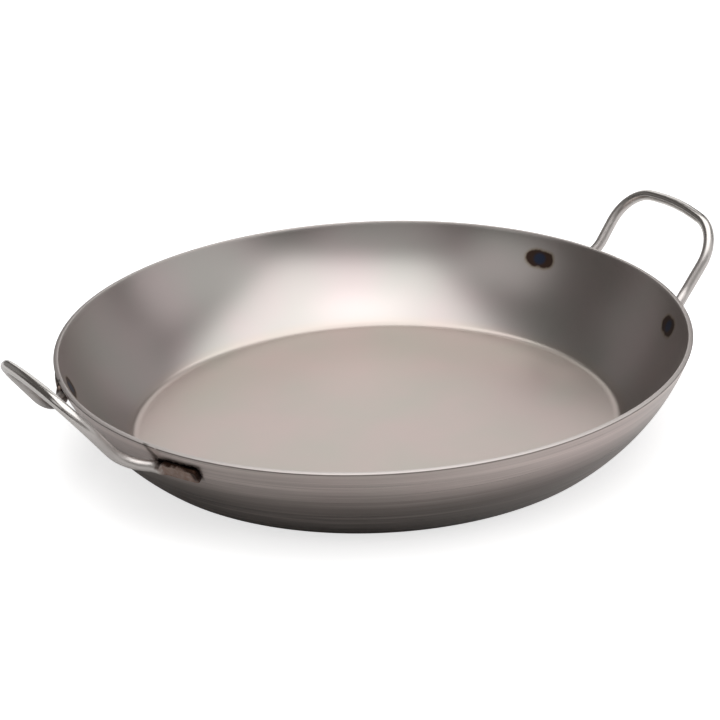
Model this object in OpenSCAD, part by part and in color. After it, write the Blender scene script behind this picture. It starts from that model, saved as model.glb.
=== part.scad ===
// Two-handled steel pan: one pressed sheet bowl with a flat base, a tight
// corner and a flared, slightly bowed wall, and two bent round-bar loop
// handles whose flattened feet are spot welded to the outside of the wall.
// Millimetres. +Z is up, the origin is the centre of the flat base, and the
// handles lie on +X and -X.

/* [Pan] */
// Outside diameter at the rim
rim_d = 400; // [350:1:500]
// Height of the rim's outer edge above the base
pan_h = 61; // [48:0.5:80]
// Diameter of the flat part of the base
base_d = 299.5; // [220:0.5:350]
// Thickness of the sheet
sheet_t = 3; // [1.5:0.1:4]
// Outside radius of the corner between base and wall
corner_r = 12; // [6:0.5:30]
// Radius of the wall's outward bow, seen in section
wall_r = 136; // [90:1:400]
// Slope of the cut rim face, falling outwards, in degrees
rim_slope = 15; // [0:1:25]
// Width of the broken outer edge of the rim
rim_break = 0.5; // [0.2:0.1:1]
// Diameter of the small round nicks in the rim's outer edge
nick_d = 2.4; // [1:0.1:4]
// How far each nick reaches in from the rim's outer edge
nick_depth = 0.5; // [0.2:0.1:1]
// Angle of each nick from the +X handle
nick_angles = [4.4, 198.8]; // [0:0.1:360]

/* [Handles] */
// Diameter of the round bar
bar_d = 7; // [4:0.1:10]
// Distance between the bar's centre lines where the legs leave the wall
leg_gap = 96.5; // [80:0.5:140]
// How far each outer corner of the grip stands outside its leg
grip_flare = 1.65; // [0:0.05:6]
// How far the leg's lower bend stands outside the rim
leg_out = 3; // [2:0.1:15]
// How far the leg's lower bend lies below the rim
leg_drop = 11.8; // [4:0.1:16]
// How far the outer corners stand outside the rim
grip_out = 34.1; // [20:0.1:60]
// How far the outer corners rise above the rim
grip_rise = 28.8; // [10:0.1:50]
// Extra reach of the bowed grip at its middle
grip_bow = 3.3; // [0:0.1:6]
// Extra rise of the bowed grip at its middle
grip_crown = 6; // [0:0.1:12]
// How much thicker the bar is round a bend than along a straight
bend_swell = 0.04; // [0.04:0.01:0.1]
// Centre-line radius of the bend where a foot leaves the wall
foot_bend_r = 9; // [7:1:20]
// Centre-line radius of the bend at the bottom of a leg
leg_bend_r = 23; // [10:1:30]
// Centre-line radius of the outer corners
corner_bend_r = 26.5; // [14:0.5:30]
// Centre-line radius of the bowed grip
grip_bend_r = 160; // [100:1:400]

/* [Feet] */
// How far the middle of a foot lies below the rim
foot_drop = 13.7; // [9:0.1:25]
// How far the bend where a foot leaves the wall stands outside its leg
foot_spread = 11.1; // [9:0.1:25]
// Length of round bar along the wall, from that bend's corner to the pad
foot_run = 5.9; // [4:0.1:20]
// Length of the flattened pad past the round bar
pad_reach = 26.4; // [20:0.1:50]
// Height of the flattened pad
pad_w = 10.5; // [8:0.5:16]
// Thickness of the flattened pad
pad_t = 3.5; // [2:0.1:5]
// How far the round bar is squashed flat where it lies on the wall
bar_seat = 0.4; // [0.2:0.1:1]
// Radius of the pad's rounded end corners
pad_end_r = 2; // [1:0.1:4]

/* [Spot welds] */
// Diameter of a weld nugget
weld_d = 6; // [3:0.1:8]
// Distance between the two nuggets of one foot
weld_gap = 9; // [8:0.1:14]
// How far a nugget reaches into the wall
weld_in_wall = 1.8; // [0.8:0.1:2.4]
// How far a nugget reaches into the pad
weld_in_pad = 2; // [0.8:0.1:2.8]

/* [Hidden] */
$fn = 96;
rim_r = rim_d / 2;
base_r = base_d / 2;
// Section of the outside: a corner arc, then a wall arc tangent to it that
// ends at the rim.
rim_p = [rim_r, pan_h];
corner_c = [base_r, corner_r];
span = norm(rim_p - corner_c);
along = (span * span + pow(wall_r - corner_r, 2) - wall_r * wall_r) / (2 * span);
aside = sqrt(pow(wall_r - corner_r, 2) - along * along);
span_dir = (rim_p - corner_c) / span;
wall_c = corner_c + span_dir * along + [-span_dir[1], span_dir[0]] * aside;
blend_dir = (corner_c - wall_c) / (wall_r - corner_r);
// Larger than any piece, for the cutting shapes
far = 2 * rim_r;
// How far the cutting shapes run past the rim
past = 20;
// How far each straight runs into the bends at its ends
into_bend = 0.4;

// A point on the wall in section, at height z on the surface moved out by off
function wall_x(z, off) = wall_c[0] + sqrt(pow(wall_r + off, 2) - pow(z - wall_c[1], 2));
// The same point in space, at angle a round the pan
function on_wall(a, z, off) = [wall_x(z, off) * cos(a), wall_x(z, off) * sin(a), z];
// Outward slope of the wall below the horizontal at height z
function wall_tilt(z, off) = asin((wall_c[1] - z) / (wall_r + off));
function unit(v) = v / norm(v);
// Angle that a length takes up round a circle of radius r
function turn(length, r) = length / r * 180 / PI;

// Angles from the handle's middle to the bend, the step and the end of a foot
foot_z = pan_h - foot_drop;
bar_off = bar_d / 2 - bar_seat;
foot_bend_a = asin((leg_gap / 2 + foot_spread) / wall_x(foot_z, bar_off));
foot_start_a = foot_bend_a + turn(foot_run, wall_x(foot_z, bar_off));
foot_end_a = foot_start_a + turn(pad_reach, wall_x(foot_z, 0));

// Centre line of one handle, from one foot to the other, measured from a
// point at rim height outside the pan
path_o = [rim_r, 0, pan_h];
half_path = [
    on_wall(foot_start_a, foot_z, bar_off) - path_o,
    on_wall(foot_bend_a, foot_z, bar_off) - path_o,
    [leg_out, leg_gap / 2, -leg_drop],
    [grip_out, leg_gap / 2 + grip_flare, grip_rise]];
grip_mid = [grip_out + grip_bow, 0, grip_rise + grip_crown];
path = concat(half_path, [grip_mid],
              [for (i = [len(half_path) - 1:-1:0])
                  [half_path[i][0], -half_path[i][1], half_path[i][2]]]);
bends = [0, foot_bend_r, leg_bend_r, corner_bend_r, grip_bend_r,
         corner_bend_r, leg_bend_r, foot_bend_r, 0];

// Half the angle between the two straights that meet at point i
function half_angle(i) = acos(unit(path[i - 1] - path[i]) * unit(path[i + 1] - path[i])) / 2;
// Distance from point i to where its bend starts
function setback(i) = bends[i] == 0 ? 0 : bends[i] / tan(half_angle(i));

// Everything inside the outside surface moved in by off, as a half section
module inside_section(off, top) {
    translate([0, off]) square([base_r, top - off]);
    intersection() {
        translate(corner_c) circle(r = corner_r - off);
        polygon([corner_c, corner_c + [0, -far], corner_c + [far, -far],
                 corner_c + far * blend_dir]);
    }
    intersection() {
        translate(wall_c) circle(r = wall_r - off);
        polygon([[base_r - 1, corner_c[1]], corner_c, corner_c + far * blend_dir,
                 [far, top], [base_r - 1, top]]);
    }
}

module pan_section() {
    difference() {
        inside_section(0, pan_h + past / 2);
        inside_section(sheet_t, pan_h + past);
        // the cut rim face
        translate(rim_p) rotate(-rim_slope) translate([-far, 0]) square([2 * far, far]);
        // the broken outer edge
        translate(rim_p) rotate(-rim_slope - 45)
            translate([-far / 2, -rim_break / sqrt(2)]) square(far);
    }
}

module round_solid(off, top) {
    rotate_extrude() inside_section(off, top);
}

// One straight length of bar between two points
module straight(a, b) {
    d = b - a;
    translate(a) rotate([0, acos(d[2] / norm(d)), atan2(d[1], d[0])])
        cylinder(h = norm(d), d = bar_d - bend_swell);
}

// The bend at point i of the path
module bend(i) {
    a = unit(path[i - 1] - path[i]);
    b = unit(path[i + 1] - path[i]);
    c = path[i] + unit(a + b) * bends[i] / sin(half_angle(i));
    x = unit(path[i] + a * setback(i) - c);
    z = unit(cross(x, path[i] + b * setback(i) - c));
    y = cross(z, x);
    multmatrix([[x[0], y[0], z[0], c[0]], [x[1], y[1], z[1], c[1]], [x[2], y[2], z[2], c[2]]])
        rotate_extrude(angle = 180 - 2 * half_angle(i)) translate([bends[i], 0]) circle(d = bar_d);
}

// Where the straight from point i to point j ends at i, a little inside the bend
function straight_end(i, j) =
    path[i] + unit(path[j] - path[i]) * max(0, setback(i) - into_bend);

module bar() {
    last = len(path) - 1;
    translate(path_o) {
        for (i = [1:last - 1]) bend(i);
        for (i = [0:last - 1]) straight(straight_end(i, i + 1), straight_end(i + 1, i));
    }
}

// Put something drawn on the XY plane against the wall: its X runs round the
// pan, its Y runs up the wall, and its Z points out of the wall.
module against_wall(a, z) {
    translate(on_wall(a, z, 0)) rotate([0, 0, a]) rotate([0, wall_tilt(z, 0), 0])
        rotate([90, 0, 90]) children();
}

// The pad starts under the bar, a little before the step
pad_lap = 3;
pad_len = pad_reach + pad_lap;
pad_mid_a = foot_end_a - turn(pad_len / 2, wall_x(foot_z, 0));

module pad_outline() {
    square([pad_len - 2 * pad_end_r, pad_w], center = true);
    square([pad_len, pad_w - 2 * pad_end_r], center = true);
    for (x = [-1, 1], y = [-1, 1])
        translate([x * (pad_len / 2 - pad_end_r), y * (pad_w / 2 - pad_end_r)]) circle(r = pad_end_r);
}

module pad(side) {
    intersection() {
        round_solid(-pad_t, pan_h);
        against_wall(side * pad_mid_a, foot_z)
            translate([0, 0, -past / 4]) linear_extrude(past / 2 + pad_t) pad_outline();
    }
}

// The nuggets of one handle, as drawn on the +X side
module nuggets() {
    for (side = [-1, 1], k = [-0.5, 0.5])
        against_wall(side * pad_mid_a, foot_z)
            translate([k * weld_gap, 0, -weld_in_wall]) cylinder(h = weld_in_wall + weld_in_pad, d = weld_d);
}

module handle() {
    difference() {
        union() {
            bar();
            pad(1);
            pad(-1);
        }
        round_solid(0, pan_h + past);
        nuggets();
    }
}

module pan_body() {
    color([0.55, 0.53, 0.51])
        difference() {
            rotate_extrude() pan_section();
            for (a = nick_angles)
                rotate([0, 0, a]) translate([rim_r - nick_depth + nick_d / 2, 0, pan_h - past / 4])
                    cylinder(h = past / 2, d = nick_d);
            nuggets();
            rotate([0, 0, 180]) nuggets();
        }
}

module handle_right() {
    color([0.72, 0.71, 0.70]) handle();
}

module handle_left() {
    color([0.72, 0.71, 0.70]) rotate([0, 0, 180]) handle();
}

module spot_welds() {
    color([0.25, 0.2, 0.18]) {
        nuggets();
        rotate([0, 0, 180]) nuggets();
    }
}

pan_body();
handle_right();
handle_left();
spot_welds();
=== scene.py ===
from math import asin, atan2, ceil, cos, degrees, pi, radians, sin, sqrt, tan

import bmesh
import bpy
from mathutils import Matrix, Vector


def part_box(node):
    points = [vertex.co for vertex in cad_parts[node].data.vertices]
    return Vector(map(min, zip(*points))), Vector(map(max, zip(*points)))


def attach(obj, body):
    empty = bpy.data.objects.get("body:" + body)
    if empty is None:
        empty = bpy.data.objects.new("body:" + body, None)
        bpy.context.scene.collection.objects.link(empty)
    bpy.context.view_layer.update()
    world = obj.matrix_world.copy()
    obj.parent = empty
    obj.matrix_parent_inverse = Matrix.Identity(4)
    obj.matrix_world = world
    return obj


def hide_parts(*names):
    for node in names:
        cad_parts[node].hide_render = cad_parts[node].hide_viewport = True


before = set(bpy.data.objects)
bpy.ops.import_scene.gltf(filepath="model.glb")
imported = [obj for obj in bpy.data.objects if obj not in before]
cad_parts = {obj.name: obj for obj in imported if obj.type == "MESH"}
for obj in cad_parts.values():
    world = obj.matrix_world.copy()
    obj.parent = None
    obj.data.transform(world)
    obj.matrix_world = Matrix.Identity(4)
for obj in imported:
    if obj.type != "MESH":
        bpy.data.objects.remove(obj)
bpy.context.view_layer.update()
MM = 0.001


# ---- Pan body ------------------------------------------------------------
# One disc of 3 mm carbon steel, pressed in one piece: a flat floor, a tight
# corner and a flared wall with a slight outward bow. The rim is cut off at a
# slope and its edges are broken with a file.

pan_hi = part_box("pan_body")[1]
sheet_t = 3 * MM
rim_r = pan_hi.x
base_r = 149.75 * MM
corner_r = 12 * MM
wall_r = 136 * MM
rim_slope = radians(15)
# The rim's outer edge lies this far below its inner edge, which is the highest part of the pan
rim_fall = 0.78 * MM
rim_h = pan_hi.z - rim_fall
# How much the file takes off the rim's outer and inner edges
outer_break, inner_break = 0.35 * MM, 0.3 * MM
# Two small knocks in the rim's outer edge: their angles, and how deep and how far round they go
nick_angles = (radians(4.4), radians(198.8))
nick_depth, nick_reach = 0.45 * MM, 1.5 * MM
# Points closer together than this are taken as one
same_place = 0.01 * MM

# The section, as radius and height: a corner arc about corner_c, then a wall
# arc about wall_c that meets it without a kink and ends at the rim
corner_c = Vector((base_r, corner_r))
rim_p = Vector((rim_r, rim_h))
reach = rim_p - corner_c
along = (reach.length_squared + (wall_r - corner_r) ** 2 - wall_r ** 2) / (2 * reach.length)
aside = sqrt((wall_r - corner_r) ** 2 - along ** 2)
wall_c = corner_c + reach.normalized() * along + Vector((-reach.y, reach.x)).normalized() * aside
blend_a = atan2(corner_c.y - wall_c.y, corner_c.x - wall_c.x)
rim_a = atan2(rim_h - wall_c.y, rim_r - wall_c.x)


def wall_point(angle, height, off):
    """A point at a height on the outside of the wall, moved out by off, at an angle round the pan."""
    radius = wall_c.x + sqrt((wall_r + off) ** 2 - (height - wall_c.y) ** 2)
    return Vector((radius * cos(angle), radius * sin(angle), height))


def wall_tilt(height):
    """How far the outside of the wall faces below the horizontal at a height."""
    return asin((wall_c.y - height) / wall_r)


def start_piece(name):
    """Names the primitive just added and opens it in edit mode with nothing selected."""
    piece = bpy.context.active_object
    piece.name = name
    piece.data.name = name
    bpy.ops.object.mode_set(mode="EDIT")
    bpy.ops.mesh.select_all(action="DESELECT")
    return piece


def pick(piece, kind, test):
    """Selects the vertices, edges or faces that pass a test, and nothing else."""
    bpy.ops.mesh.select_all(action="DESELECT")
    bpy.ops.mesh.select_mode(type={"verts": "VERT", "edges": "EDGE", "faces": "FACE"}[kind])
    shape = bmesh.from_edit_mesh(piece.data)
    for item in getattr(shape, kind):
        if test(item):
            item.select_set(True)
    shape.select_flush_mode()
    bmesh.update_edit_mesh(piece.data)


def end_piece():
    """Closes edit mode with the normals pointing out of the solid."""
    bpy.ops.mesh.select_all(action="SELECT")
    bpy.ops.mesh.normals_make_consistent(inside=False)
    bpy.ops.object.mode_set(mode="OBJECT")


def arc(centre, radius, start, end, steps):
    """The points along an arc of the section after its first."""
    angles = [start + (end - start) * (i + 1) / steps for i in range(steps)]
    return [centre + radius * Vector((cos(a), sin(a))) for a in angles]


# How finely the pan is divided, round it, round its corner and up its wall
facets, corner_steps, wall_steps = 384, 9, 26

bpy.ops.object.select_all(action="DESELECT")
bpy.ops.mesh.primitive_circle_add(vertices=facets, radius=base_r)
body = start_piece("pan_sheet")
bpy.ops.mesh.select_all(action="SELECT")

# Draw the outside of the wall up from the floor, one ring at a time
corner_arc = arc(corner_c, corner_r, -pi / 2, blend_a, corner_steps)
wall_arc = arc(wall_c, wall_r, blend_a, rim_a, wall_steps)
ring = Vector((base_r, 0))
for point in corner_arc + wall_arc:
    bpy.ops.mesh.extrude_region_move(TRANSFORM_OT_translate={"value": (0, 0, point.y - ring.y)})
    spread = point.x / ring.x
    bpy.ops.transform.resize(value=(spread, spread, 1), center_override=(0, 0, point.y))
    ring = point

# Close the floor with a face, ringed so that its triangles stay even
pick(body, "verts", lambda v: v.co.z < same_place)
bpy.ops.mesh.edge_face_add()
for share in (0.15, 0.18, 0.3):
    bpy.ops.mesh.inset(thickness=base_r * share)
bpy.ops.mesh.poke()

# Turn every face downwards and outwards, so that the sheet gets its thickness inwards
bpy.ops.mesh.select_all(action="SELECT")
bpy.ops.mesh.normals_make_consistent(inside=False)
floor_face = min(bmesh.from_edit_mesh(body.data).faces, key=lambda f: f.calc_center_median().length)
if floor_face.normal.z > 0:
    bpy.ops.mesh.flip_normals()
bpy.ops.object.mode_set(mode="OBJECT")

# Give the sheet its thickness, inwards
sheet = body.modifiers.new("Sheet", "SOLIDIFY")
sheet.thickness = sheet_t
sheet.offset = -1
sheet.use_even_offset = True
bpy.ops.object.modifier_apply(modifier=sheet.name)

# Cut the rim face to its slope: the inner edge goes where the slope meets the inside
bpy.ops.object.mode_set(mode="EDIT")
slope = Vector((-cos(rim_slope), sin(rim_slope)))
half = (wall_c - rim_p).dot(slope)
inner_p = rim_p + slope * (half - sqrt(half ** 2 - wall_r ** 2 + (wall_r - sheet_t) ** 2))
wide_rim = rim_r - sheet_t / 2
top_ring = [v.co for v in bmesh.from_edit_mesh(body.data).verts
            if v.co.z > rim_h - 2 * MM and v.co.xy.length < wide_rim]
old_h = max(co.z for co in top_ring)
old_r = [co.xy.length for co in top_ring if co.z > old_h - same_place][0]
pick(body, "verts", lambda v: v.co.z > old_h - same_place and v.co.xy.length < wide_rim)
spread = inner_p.x / old_r
bpy.ops.transform.resize(value=(spread, spread, 1), center_override=(0, 0, old_h))
bpy.ops.transform.translate(value=(0, 0, inner_p.y - old_h))


def file_rim(place, size):
    """Breaks one edge of the rim face, found by its place in the section."""
    pick(body, "edges", lambda e: all((Vector((v.co.xy.length, v.co.z)) - place).length < 5 * same_place
                                      for v in e.verts))
    bpy.ops.mesh.bevel(offset=size, segments=3, affect="EDGES")


file_rim(rim_p, outer_break)
file_rim(inner_p, inner_break)


def dent(piece, place, push, size):
    """Presses a small round dent in: the mesh there is made finer, then pushed with a soft edge."""
    pick(piece, "faces", lambda f: (f.calc_center_median() - place).length < size * 1.6)
    bpy.ops.mesh.subdivide(number_cuts=4)
    near = min(bmesh.from_edit_mesh(piece.data).verts, key=lambda v: (v.co - place).length)
    spot = near.co.copy()
    pick(piece, "verts", lambda v: (v.co - spot).length < same_place)
    bpy.ops.transform.translate(value=push, use_proportional_edit=True, proportional_size=size,
                                proportional_edit_falloff="SMOOTH", use_proportional_connected=True)


for nick_a in nick_angles:
    out = Vector((cos(nick_a), sin(nick_a), 0))
    dent(body, out * rim_r + Vector((0, 0, rim_h)), -out * nick_depth, nick_reach)

end_piece()
bpy.ops.object.shade_smooth_by_angle(angle=radians(35))


def new_material(name):
    """A node material with one metal shader, and its node tree."""
    made = bpy.data.materials.new(name)
    made.use_nodes = True
    shader = made.node_tree.nodes["Principled BSDF"]
    shader.inputs["Metallic"].default_value = 1
    return made, made.node_tree, shader


def put(tree, kind, *values, output=0, **settings):
    """Adds a node, sets it, fills its sockets in order with numbers or other nodes' outputs."""
    made = tree.nodes.new("ShaderNode" + kind)
    for name, value in settings.items():
        setattr(made, name, value)
    for socket, value in zip([s for s in made.inputs if s.enabled], values):
        if isinstance(value, bpy.types.NodeSocket):
            tree.links.new(value, socket)
        elif value is not None:
            socket.default_value = value
    return [s for s in made.outputs if s.enabled][output]


def own_place(tree):
    """Where a point of the piece lies, in the piece's own coordinates."""
    return put(tree, "TexCoord", output=3)


def maths(tree, operation, a, b=0.5, c=0.5):
    """One sum on numbers or other nodes' outputs."""
    return put(tree, "Math", a, b, c, operation=operation)


def fade(tree, value, full, none):
    """1 where a value is at full or beyond, 0 where it is at none, and smooth between."""
    return put(tree, "MapRange", value, full, none, 1.0, 0.0, interpolation_type="SMOOTHSTEP")


def mixed(tree, share, a, b, how="MIX"):
    """Colour a with a share of colour b over it."""
    return put(tree, "Mix", share, a, b, data_type="RGBA", blend_type=how)


def noise(tree, place, scale, detail=2.0, roughness=0.5):
    """Smooth noise about 0.5, with this many lumps to the metre."""
    return put(tree, "TexNoise", place, scale, detail, roughness)


# The welds lie in pairs, one pair in each quarter of the pan
quarter = [v.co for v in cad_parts["spot_welds"].data.vertices if v.co.x > 0 and v.co.y > 0]
weld_mid = sum(quarter, Vector()) / len(quarter)
weld_way = Vector((-weld_mid.y, weld_mid.x, 0)).normalized()
weld_up = Vector((weld_mid.x, weld_mid.y, 0)).normalized().cross(weld_way)


def on_pad(tree, place):
    """How far a point lies along a pad from its middle, towards its end, and how far up it."""
    quarter_place = put(tree, "VectorMath", place, operation="ABSOLUTE")
    from_mid = put(tree, "VectorMath", quarter_place, weld_mid, operation="SUBTRACT")
    return [put(tree, "VectorMath", from_mid, way, operation="DOT_PRODUCT") for way in (weld_way, weld_up)]


steel, tree, shader = new_material("pan_steel")
place = own_place(tree)
flat_place = put(tree, "VectorMath", place, (1, 1, 0), operation="MULTIPLY")
height = put(tree, "SeparateXYZ", place, output=2)
radius = put(tree, "VectorMath", flat_place, operation="LENGTH")

# Grinding streaks that run round the pan: long round it and fine up the wall
round_pan = put(tree, "VectorMath", flat_place, operation="NORMALIZE")


def streaks(length, width, detail):
    """Noise drawn out round the pan, with streaks of about this length and width in metres."""
    long_way = put(tree, "VectorMath", round_pan, None, None, rim_r / length, operation="SCALE")
    fine_way = put(tree, "CombineXYZ", 0.0, 0.0, maths(tree, "MULTIPLY", height, 1 / width))
    return noise(tree, put(tree, "VectorMath", long_way, fine_way, operation="ADD"), 1.0, detail)


fine, broad = streaks(40 * MM, 0.8 * MM, 4.0), streaks(90 * MM, 5 * MM, 2.0)

# The outside of the wall lies further from the centre of its bow than the inside
bow = put(tree, "CombineXYZ", maths(tree, "SUBTRACT", radius, wall_c.x),
          maths(tree, "SUBTRACT", height, wall_c.y), 0.0)
from_bow = put(tree, "VectorMath", bow, operation="LENGTH")
mid_sheet = wall_r - sheet_t / 2
outside = fade(tree, from_bow, mid_sheet + 0.2 * MM, mid_sheet - 0.2 * MM)

# The bare steel: slightly warm grey, with faint brownish and greenish clouds, and a little
# redder outside
greenish, brownish, reddish = (0.505, 0.466, 0.423, 1), (0.545, 0.46, 0.432, 1), (0.54, 0.465, 0.448, 1)
clouds = put(tree, "MapRange", noise(tree, place, 15.0), 0.35, 0.65, 0.0, 1.0)
bare = mixed(tree, clouds, greenish, brownish)
bare = mixed(tree, maths(tree, "MULTIPLY", outside, 0.6), bare, reddish)

# Inside, the wall is tinted a little cooler than the floor: a painted tint that stands for the cool light
# mirrored in the wall
cool_light_tint = mixed(tree, 1.0, bare, (0.965, 1.005, 1.05, 1), "MULTIPLY")
above_floor = fade(tree, height, 9 * MM, 3.5 * MM)
inside_wall = maths(tree, "MULTIPLY", maths(tree, "SUBTRACT", 1.0, outside), above_floor)
bare = mixed(tree, inside_wall, bare, cool_light_tint)

# Painted shade: the lower part of the outside is darkened, standing for the shadowed floor that it mirrors
# near the base, and lifted in short streaky patches; there are grinding streaks all over it
base_shade_dark = (0.10, 0.087, 0.078, 1)
scale = maths(tree, "MULTIPLY", outside, fade(tree, height, 26 * MM, 50 * MM))
lighter_patches = maths(tree, "MULTIPLY", fade(tree, streaks(26 * MM, 3.2 * MM, 3.0), 0.64, 0.52),
               fade(tree, height, 20 * MM, 30 * MM))
scale = maths(tree, "MULTIPLY", scale, maths(tree, "MULTIPLY_ADD", lighter_patches, -0.3, 0.66))
bare = mixed(tree, scale, bare, base_shade_dark)
streak_shade = put(tree, "MapRange", maths(tree, "ADD", fine, broad), 0.7, 1.3, 0.78, 1.2)
bare = mixed(tree, outside, bare, mixed(tree, 1.0, bare, streak_shade, "MULTIPLY"))

# The cut rim is a little brighter, and a thin dark line just under its broken outer edge is painted shade
fresh_cut, edge_shade_dark = (0.56, 0.52, 0.50, 1), (0.14, 0.12, 0.11, 1)
cut_rim = fade(tree, height, rim_h, rim_h - 0.4 * MM)
bare = mixed(tree, cut_rim, bare, fresh_cut)
painted_edge_shade = maths(tree, "MULTIPLY", fade(tree, radius, rim_r - 0.2 * MM, rim_r - 0.5 * MM),
                  fade(tree, height, rim_h - 0.7 * MM, rim_h - 1.1 * MM))
bare = mixed(tree, maths(tree, "MULTIPLY", painted_edge_shade, 0.75), bare, edge_shade_dark)

# Heat marks round each pair of welds, as two ovals that run together: the outer one is
# larger, with a blue-black middle in a brown ring, and both fade through straw to bare steel
straw, burnt_brown, blue_black = (0.41, 0.35, 0.29, 1), (0.07, 0.044, 0.034, 1), (0.04, 0.052, 0.09, 1)
along_pad, up_pad = on_pad(tree, place)
wobble = put(tree, "MapRange", noise(tree, place, 190.0), 0.3, 0.7, -0.5 * MM, 0.5 * MM)


def heat_oval(middle, radius):
    """How far inside the edge of one heat oval a point lies. It is a little longer than it is high."""
    flat = put(tree, "CombineXYZ", maths(tree, "SUBTRACT", along_pad, middle),
               maths(tree, "MULTIPLY", up_pad, 1.35), 0.0)
    return maths(tree, "SUBTRACT", radius, put(tree, "VectorMath", flat, operation="LENGTH"))


outer_oval, inner_oval = heat_oval(2.7 * MM, 6.8 * MM), heat_oval(-6.3 * MM, 6.3 * MM)
heat = maths(tree, "ADD", maths(tree, "SMOOTH_MAX", outer_oval, inner_oval, 10 * MM), wobble)
middle_oval = heat_oval(-1.4 * MM, 6.2 * MM)
burnt_mark = mixed(tree, fade(tree, middle_oval, 3.4 * MM, 0.0), burnt_brown, blue_black)
tinted = mixed(tree, fade(tree, heat, 0.0, -2.4 * MM), bare, straw)
tinted = mixed(tree, fade(tree, heat, 1.2 * MM, -0.8 * MM), tinted, burnt_mark)

# Soot outside, round the end of each pad and in a smear up to the rim; the dark band along the top of each
# pad is partly soot and partly painted shade of the crevice between pad and wall
soot_and_shade_black = (0.028, 0.02, 0.016, 1)


def beyond(distance, limit):
    """How far a distance goes past a limit to either side, and nothing short of it."""
    return maths(tree, "MAXIMUM", maths(tree, "SUBTRACT", maths(tree, "ABSOLUTE", distance), limit), 0.0)


off_pad = put(tree, "CombineXYZ", beyond(along_pad, 13.5 * MM), beyond(up_pad, 4.6 * MM), 0.0)
from_pad = put(tree, "VectorMath", off_pad, operation="LENGTH")
spatter = put(tree, "MapRange", noise(tree, place, 260.0, 4.0, 0.6), 0.3, 0.7, -0.8 * MM, 0.8 * MM)
thicker = put(tree, "MapRange", along_pad, -14 * MM, 14 * MM, 0.4 * MM, -0.5 * MM)
soot_and_crevice_shade = fade(tree, maths(tree, "ADD", from_pad, maths(tree, "ADD", spatter, thicker)), 1.2 * MM, 3.4 * MM)
soot_and_crevice_shade = maths(tree, "MULTIPLY", soot_and_crevice_shade, fade(tree, up_pad, 2 * MM, -5 * MM))
from_step = maths(tree, "ADD", along_pad, 11 * MM)
smear_line = maths(tree, "ABSOLUTE", maths(tree, "MULTIPLY_ADD", up_pad, 0.75, from_step))
smear = maths(tree, "MULTIPLY", fade(tree, maths(tree, "ADD", smear_line, spatter), 0.5 * MM, 3.5 * MM),
              fade(tree, up_pad, 5 * MM, 2 * MM))
soot_and_crevice_shade = maths(tree, "MULTIPLY", maths(tree, "MAXIMUM", soot_and_crevice_shade, maths(tree, "MULTIPLY", smear, 0.6)), outside)
tree.links.new(mixed(tree, soot_and_crevice_shade, tinted, soot_and_shade_black), shader.inputs["Base Color"])

# The floor and the wall inside are satin, the ground outside is streaked, and burnt steel is duller
ground = maths(tree, "MULTIPLY", maths(tree, "SUBTRACT", fine, 0.5), outside)
rough = put(tree, "MapRange", ground, -0.2, 0.2, 0.27, 0.35)
burnt = maths(tree, "MAXIMUM", soot_and_crevice_shade, fade(tree, heat, 1 * MM, -1 * MM))
rough = maths(tree, "MULTIPLY_ADD", burnt, 0.15, rough)
rough = maths(tree, "MULTIPLY_ADD", cut_rim, 0.16, rough)
tree.links.new(rough, shader.inputs["Roughness"])
bump = put(tree, "Bump", 0.35, 0.02 * MM, None, ground)
tree.links.new(bump, shader.inputs["Normal"])
body.data.materials.append(steel)
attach(body, "root")
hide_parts("pan_body")


# ---- Handles --------------------------------------------------------------
# Each handle is one length of 7 mm polished steel bar, bent cold into a loop.
# Both of its ends are hammered into flat pads, curved to lie on the wall just
# below the rim, and each pad is spot welded to the sheet.

bar_d = 7 * MM
leg_gap = 96.5 * MM
grip_flare = 1.65 * MM
leg_out, leg_drop = 3 * MM, 11.8 * MM
grip_out, grip_rise = 34.1 * MM, 28.8 * MM
grip_bow, grip_crown = 3.3 * MM, 6 * MM
foot_z = rim_h - 13.7 * MM
foot_spread = 11.1 * MM
foot_run = 5.9 * MM
pad_reach = 26.4 * MM
pad_w, pad_t = 10.5 * MM, 3.5 * MM
# Radius of the pad's end corners, and how much is taken off its end's edges
pad_end_r, pad_end_break = 2 * MM, 0.5 * MM
# Length over which the round bar turns into the flat pad
flatten = 3.4 * MM
# Radius of each bend of the centre line
foot_bend_r, leg_bend_r, corner_bend_r, grip_bend_r = 9 * MM, 23 * MM, 26.5 * MM, 160 * MM
# The bar and the pad start this far inside the wall, and are then pushed out to lie on it
bar_seat, pad_seat = 0.4 * MM, 0.12 * MM

bar_off = bar_d / 2 - bar_seat
foot_r = wall_point(0, foot_z, bar_off).x
foot_bend_a = asin((leg_gap / 2 + foot_spread) / foot_r)
foot_start_a = foot_bend_a + foot_run / foot_r
foot_end_a = foot_start_a + pad_reach / wall_point(0, foot_z, 0).x
foot_tilt = wall_tilt(foot_z)

# Corners of the bar's centre line, from the middle of the grip to the foot
shaved = 0.03 * MM  # keeps the top of the grip just inside the frame's box
crown = Vector((rim_r + grip_out + grip_bow, 0, rim_h + grip_rise + grip_crown - shaved))
corner = Vector((rim_r + grip_out, leg_gap / 2 + grip_flare, rim_h + grip_rise))
leg = Vector((rim_r + leg_out, leg_gap / 2, rim_h - leg_drop))
foot = wall_point(foot_bend_a, foot_z, bar_off)
step = wall_point(foot_start_a, foot_z, bar_off)


def bend_at(before, knee, after, radius):
    """The centre, axis, angle, start and end of the bend that rounds one corner."""
    back, on = (before - knee).normalized(), (after - knee).normalized()
    half_turn = back.angle(on) / 2
    centre = knee + (back + on).normalized() * radius / sin(half_turn)
    start, end = (knee + way * radius / tan(half_turn) for way in (back, on))
    return centre, (start - centre).cross(end - centre).normalized(), pi - 2 * half_turn, start, end


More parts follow.
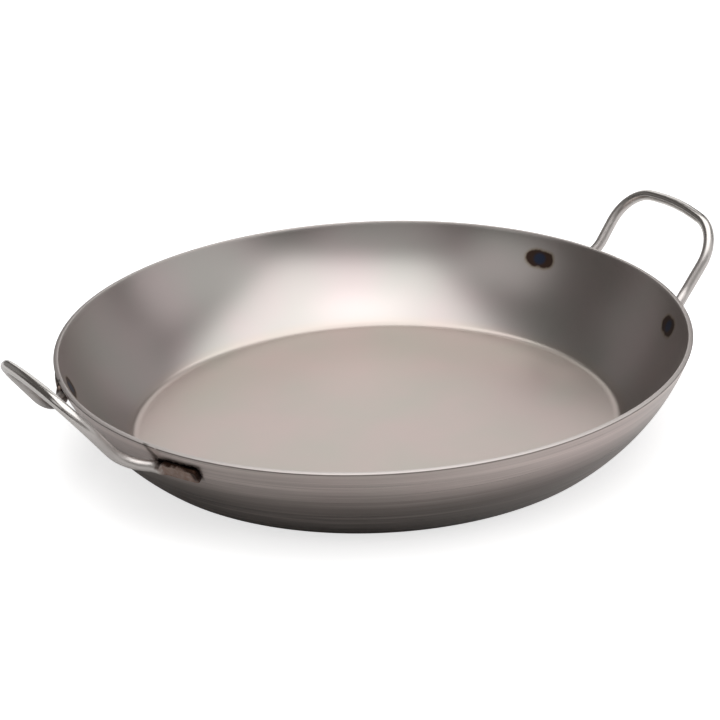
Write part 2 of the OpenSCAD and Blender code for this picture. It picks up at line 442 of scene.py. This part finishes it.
def wall_axes(angle):
    """Columns: along the wall, up the wall and out of it, where the feet are."""
    out = Vector((cos(angle) * cos(foot_tilt), sin(angle) * cos(foot_tilt), -sin(foot_tilt)))
    level = Vector((-sin(angle), cos(angle), 0))
    return Matrix((level, out.cross(level), out)).transposed()


grip_bend = bend_at(Vector((corner.x, -corner.y, corner.z)), crown, corner, grip_bend_r)
half_bends = [bend_at(crown, corner, leg, corner_bend_r), bend_at(corner, leg, foot, leg_bend_r),
              bend_at(leg, foot, step, foot_bend_r)]

# The section's first point is turned at the grip so that it faces out of the wall at the foot
facing = wall_axes(foot_start_a).col[2]
for centre, axis, angle, start, end in reversed(half_bends):
    facing = Matrix.Rotation(-angle, 3, axis) @ facing
centre, axis, angle, start, at = grip_bend
facing = Matrix.Rotation(-angle / 2, 3, axis) @ facing
ahead = Vector((0, 1, 0))
facing = (facing - ahead * facing.dot(ahead)).normalized()
section = Matrix((facing, ahead.cross(facing), ahead)).transposed()

bpy.ops.object.select_all(action="DESELECT")
bpy.ops.mesh.primitive_circle_add(vertices=32, radius=bar_d / 2, rotation=section.to_euler(),
                                  location=centre + (crown - centre).normalized() * grip_bend_r)
bpy.ops.object.transform_apply(location=True, rotation=True, scale=True)
bar = start_piece("handle_right_bar")
bpy.ops.mesh.select_all(action="SELECT")


def draw_bend(centre, axis, angle):
    """Carries the end of the bar round a bend, with a ring about every four degrees."""
    bpy.ops.mesh.spin(steps=ceil(degrees(angle) / 4), angle=-angle, center=centre, axis=axis)


# Bend the bar from the middle of the grip to the foot
draw_bend(centre, axis, angle / 2)
for centre, axis, angle, start, end in half_bends:
    bpy.ops.mesh.extrude_region_move(TRANSFORM_OT_translate={"value": start - at})
    draw_bend(centre, axis, angle)
    at = end
bpy.ops.mesh.extrude_region_move(TRANSFORM_OT_translate={"value": step - at})


def press(angle, wider, thick, sunk):
    """Squashes the end of the bar: wider up the wall by a factor, flat to a thickness, and with its
    inner face sunk a little into the wall."""
    axes = wall_axes(angle)
    out = axes.col[2]
    middle = wall_point(angle, foot_z, thick / 2 - sunk)
    flats = [(middle + out * thick / 2, 1), (middle - out * thick / 2, -1)]

    def on_ring(v):
        """Whether a point is on the end ring, to a ten-thousandth of a radian round the pan."""
        return abs(atan2(v.co.y, v.co.x) - angle) < 0.0001

    def squash(value, centre):
        bpy.ops.transform.resize(value=value, orient_type="GLOBAL", orient_matrix=axes,
                                 orient_matrix_type="GLOBAL", center_override=centre)

    squash((0, wider, 1), middle)
    for flat, side in flats:
        pick(bar, "verts", lambda v: on_ring(v) and (v.co - flat).dot(out) * side > 0)
        squash((1, 1, 0), flat)
    pick(bar, "verts", on_ring)


# Hammer the end flat: over a few millimetres the round bar turns into the pad
rings, pad_rings, end_rings = 8, 8, 5
angle, width, lift = foot_start_a, bar_d, bar_off
for i in range(1, rings + 1):
    share = i / rings
    eased = share * share * (3 - 2 * share)
    new_width = bar_d + (pad_w - bar_d) * eased
    thick = bar_d + (pad_t - bar_d) * eased
    new_lift = bar_off + (pad_t / 2 - pad_seat - bar_off) * eased
    bpy.ops.mesh.spin(steps=1, angle=-flatten / foot_r / rings, center=(0, 0, 0), axis=(0, 0, 1))
    angle += flatten / foot_r / rings
    bpy.ops.transform.translate(value=wall_axes(angle).col[2] * (new_lift - lift))
    press(angle, new_width / width, thick, thick / 2 - new_lift)
    width, lift = new_width, new_lift

# The pad follows the wall to its end, where its corners are rounded
pad_turn = foot_end_a - angle - pad_end_r / foot_r
bpy.ops.mesh.spin(steps=pad_rings, angle=-pad_turn, center=(0, 0, 0), axis=(0, 0, 1))
angle += pad_turn
for i in range(1, end_rings + 1):
    sweep, swept = radians(90) * i / end_rings, radians(90) * (i - 1) / end_rings
    new_width = pad_w - 2 * pad_end_r * (1 - cos(sweep))
    move = pad_end_r * (sin(sweep) - sin(swept)) / foot_r
    bpy.ops.mesh.spin(steps=1, angle=-move, center=(0, 0, 0), axis=(0, 0, 1))
    angle += move
    press(angle, new_width / width, pad_t, pad_seat)
    width = new_width
bpy.ops.mesh.edge_face_add()
bpy.ops.mesh.bevel(offset=pad_end_break, segments=3, affect="EDGES")
bpy.ops.object.mode_set(mode="OBJECT")

# The other half of the loop is its mirror image
mirror = bar.modifiers.new("Mirror", "MIRROR")
mirror.use_axis = (False, True, False)
mirror.merge_threshold = same_place
bpy.ops.object.modifier_apply(modifier=mirror.name)

# Press the feet onto the wall
seat = bar.modifiers.new("Seat", "SHRINKWRAP")
seat.target = body
seat.wrap_method = "NEAREST_SURFACEPOINT"
seat.wrap_mode = "OUTSIDE"
bpy.ops.object.modifier_apply(modifier=seat.name)
bpy.ops.object.mode_set(mode="EDIT")
end_piece()
bpy.ops.object.shade_smooth_by_angle(angle=radians(40))

# The left handle is the same bar, turned half way round the pan
bpy.ops.object.duplicate()
left_bar = bpy.context.active_object
left_bar.name = "handle_left_bar"
left_bar.rotation_euler.z = pi
bpy.ops.object.transform_apply(location=False, rotation=True, scale=False)

# Polished round the loop, and satin and a little darker towards the feet
bright, tree, shader = new_material("handle_bar")
polish, satin_grey = (0.64, 0.615, 0.59, 1), (0.61, 0.575, 0.555, 1)
place = own_place(tree)
quarter_place = put(tree, "VectorMath", place, operation="ABSOLUTE")
to_pad = put(tree, "VectorMath", quarter_place, weld_mid, operation="DISTANCE")
satin = fade(tree, to_pad, 45 * MM, 90 * MM)
clean = mixed(tree, satin, polish, satin_grey)

# The heat of the welds turned the pads a patchy copper brown
copper, dark_copper = (0.40, 0.31, 0.265, 1), (0.29, 0.20, 0.165, 1)
to_burn = put(tree, "VectorMath", quarter_place, weld_mid + weld_way * 6 * MM, operation="DISTANCE")
patchy = put(tree, "MapRange", noise(tree, place, 200.0, 4.0, 0.6), 0.3, 0.7, -4 * MM, 4 * MM)
burn = fade(tree, maths(tree, "ADD", to_burn, patchy), 14 * MM, 23 * MM)
burnt = mixed(tree, put(tree, "MapRange", noise(tree, place, 260.0, 3.0), 0.35, 0.65, 0.0, 1.0),
              copper, dark_copper)

# Soot with a ragged edge: on the top and the end of each pad, and thinner in the step before it
pad_soot = (0.05, 0.028, 0.02, 1)
along_pad, up_pad = on_pad(tree, place)
rag = maths(tree, "MULTIPLY", patchy, 0.3)
sooty_top = fade(tree, maths(tree, "ADD", up_pad, rag), 5.4 * MM, 3.6 * MM)
sooty_end = maths(tree, "MULTIPLY", fade(tree, maths(tree, "ADD", along_pad, rag), 13.4 * MM, 11 * MM),
                  fade(tree, up_pad, 0.0, -5 * MM))
near_pad = fade(tree, to_burn, 18 * MM, 22 * MM)
sooty = maths(tree, "MULTIPLY", maths(tree, "MAXIMUM", sooty_top, sooty_end), near_pad)
from_step = maths(tree, "ABSOLUTE", maths(tree, "ADD", along_pad, 12.4 * MM))
sooty_step = maths(tree, "MULTIPLY", fade(tree, from_step, 0.8 * MM, 3 * MM),
                   fade(tree, up_pad, 2 * MM, -0.5 * MM))
sooty = maths(tree, "MAXIMUM", sooty, maths(tree, "MULTIPLY", sooty_step, 0.7))
colour = mixed(tree, sooty, mixed(tree, burn, clean, burnt), pad_soot)
tree.links.new(colour, shader.inputs["Base Color"])

# Fine rubbing marks from the polishing wheel
rub = noise(tree, place, 900.0, 3.0)
rough = put(tree, "Mix", satin, 0.19, 0.42, data_type="FLOAT")
rough = maths(tree, "ADD", rough, put(tree, "MapRange", rub, 0.3, 0.7, -0.02, 0.03))
tree.links.new(rough, shader.inputs["Roughness"])
tree.links.new(put(tree, "Bump", 0.08, 0.02 * MM, None, rub), shader.inputs["Normal"])
for piece, node_name in ((bar, "handle_right"), (left_bar, "handle_left")):
    piece.data.materials.append(bright)
    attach(piece, "root")
    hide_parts(node_name)


# ---- Spot welds -----------------------------------------------------------
# Eight nuggets where the sheet and the pads melted together under the welding
# electrodes, two under each pad. They are dark, coarse metal inside the joint.

nugget, tree, shader = new_material("weld_metal")
place = own_place(tree)
dark_weld, pale_weld = (0.10, 0.08, 0.07, 1), (0.24, 0.20, 0.18, 1)
grain = noise(tree, place, 1400.0, 4.0)
tree.links.new(mixed(tree, grain, dark_weld, pale_weld), shader.inputs["Base Color"])
tree.links.new(put(tree, "MapRange", grain, 0.3, 0.7, 0.45, 0.7), shader.inputs["Roughness"])
tree.links.new(put(tree, "Bump", 0.5, 0.05 * MM, None, grain), shader.inputs["Normal"])
weld_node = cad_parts["spot_welds"]
weld_node.data.materials.clear()
weld_node.data.materials.append(nugget)


# ---- Floor ----------------------------------------------------------------
# The pan stands on a plain white sheet, which keeps its soft shadow. The sheet
# turns pure white further off. In the steel's reflections it glows a little, except in a painted
# shadow pool round a point just in front of the pan and to its left.

# The direction that the camera stands in, round the pan from +X, and level directions from it
view_az = radians(239.21)
to_camera = Vector((cos(view_az), sin(view_az), 0))
to_right = Vector((-sin(view_az), cos(view_az), 0))

bpy.ops.object.select_all(action="DESELECT")
bpy.ops.mesh.primitive_plane_add(size=12, location=(0, 0, -0.2 * MM))
floor = bpy.context.active_object
floor.name = "floor"
paper = bpy.data.materials.new("white_sheet")
paper.use_nodes = True
tree = paper.node_tree
tree.nodes.clear()
ray = tree.nodes.new("ShaderNodeLightPath")
place = own_place(tree)
# Painted shadow: for reflections the sheet glows only away from this point, so the lower outside of the
# pan mirrors a dark pool
shadow_pool_mid = to_camera * 0.08 - to_right * 0.2
from_mid = put(tree, "VectorMath", place, shadow_pool_mid, operation="DISTANCE")
reflected_glow_with_shadow_pool = maths(tree, "MULTIPLY", fade(tree, from_mid, 0.4, 0.2), 0.22)
seen_white = maths(tree, "MULTIPLY_ADD", fade(tree, from_mid, 1.5, 0.7), 0.3, 0.7)
glow = maths(tree, "MULTIPLY_ADD", ray.outputs["Is Camera Ray"], seen_white,
             maths(tree, "MULTIPLY", ray.outputs["Is Glossy Ray"], reflected_glow_with_shadow_pool))
white = put(tree, "Emission", (1, 1, 1, 1), glow)
lit = put(tree, "AddShader", put(tree, "BsdfDiffuse", (0.7, 0.7, 0.7, 1)), white)
surface = tree.nodes.new("ShaderNodeOutputMaterial")
tree.links.new(lit, surface.inputs["Surface"])
floor.data.materials.append(paper)


# ---- Lights ---------------------------------------------------------------
# A big softbox overhead with a brighter middle, a white wall of light behind the
# pan, dimmer cards at both sides and over the camera, and a dim room all round.

def softbox(name, right, near, high, width, height, brightness):
    """A soft lamp that faces the pan. Its place is in metres to the right of the pan, towards the
    camera and up, and its brightness is how white it looks."""
    place = to_right * right + to_camera * near + Vector((0, 0, high))
    away = place.normalized()
    level = to_right if high > abs(right) + abs(near) else Vector((-place.y, place.x, 0))
    across = (level - away * level.dot(away)).normalized()
    axes = Matrix((across, away.cross(across), away)).transposed()
    bpy.ops.object.light_add(type="AREA", location=place, rotation=axes.to_euler())
    lamp = bpy.context.active_object
    lamp.name = name
    lamp.data.shape = "RECTANGLE"
    lamp.data.size, lamp.data.size_y = width, height
    lamp.data.energy = brightness * pi * width * height
    lamp.visible_camera = False


softbox("top_box", 0.25, 0.12, 2.0, 2.7, 3.6, 1.7)
softbox("top_core", 0.1, 0.5, 2.0, 0.8, 0.6, 0.8)
softbox("back_wall", 0.0, -2.4, 1.0, 1.4, 1.8, 0.94)
softbox("left_card", -2.4, 1.3, 1.9, 1.8, 1.5, 0.6)
softbox("right_card", 2.0, 0.5, 0.85, 2.2, 1.5, 0.66)
softbox("far_right_card", 1.75, -1.6, 0.75, 1.6, 1.5, 0.36)
softbox("far_left_card", -1.8, -1.7, 0.7, 1.5, 1.2, 0.15)
softbox("front_card", -0.2, 2.4, 1.3, 2.2, 0.8, 0.4)

# The room is a dim warm grey, and the camera sees it as white
room_grey = (0.105, 0.098, 0.093, 1)
world = bpy.data.worlds.new("studio")
bpy.context.scene.world = world
world.use_nodes = True
tree = world.node_tree
ray = tree.nodes.new("ShaderNodeLightPath")
room = mixed(tree, ray.outputs["Is Camera Ray"], room_grey, (1, 1, 1, 1))
tree.links.new(room, tree.nodes["Background"].inputs["Color"])


# ---- Camera ---------------------------------------------------------------
# A long lens from the left front, a little above the pan.

view_el = radians(24.834)
view_from = 1.99275
# How far the camera is tipped up from looking straight down, rolled, and turned round
tipped, rolled, turned = radians(66.3329), radians(2.3005), radians(-31.5269)
camera_place = to_camera * view_from * cos(view_el) + Vector((0, 0, view_from * sin(view_el)))
bpy.ops.object.camera_add(location=camera_place, rotation=(tipped, rolled, turned))
camera = bpy.context.active_object
camera.data.lens = 157.0966
camera.data.sensor_width = 36
bpy.context.scene.camera = camera
bpy.context.scene.view_settings.view_transform = "Standard"
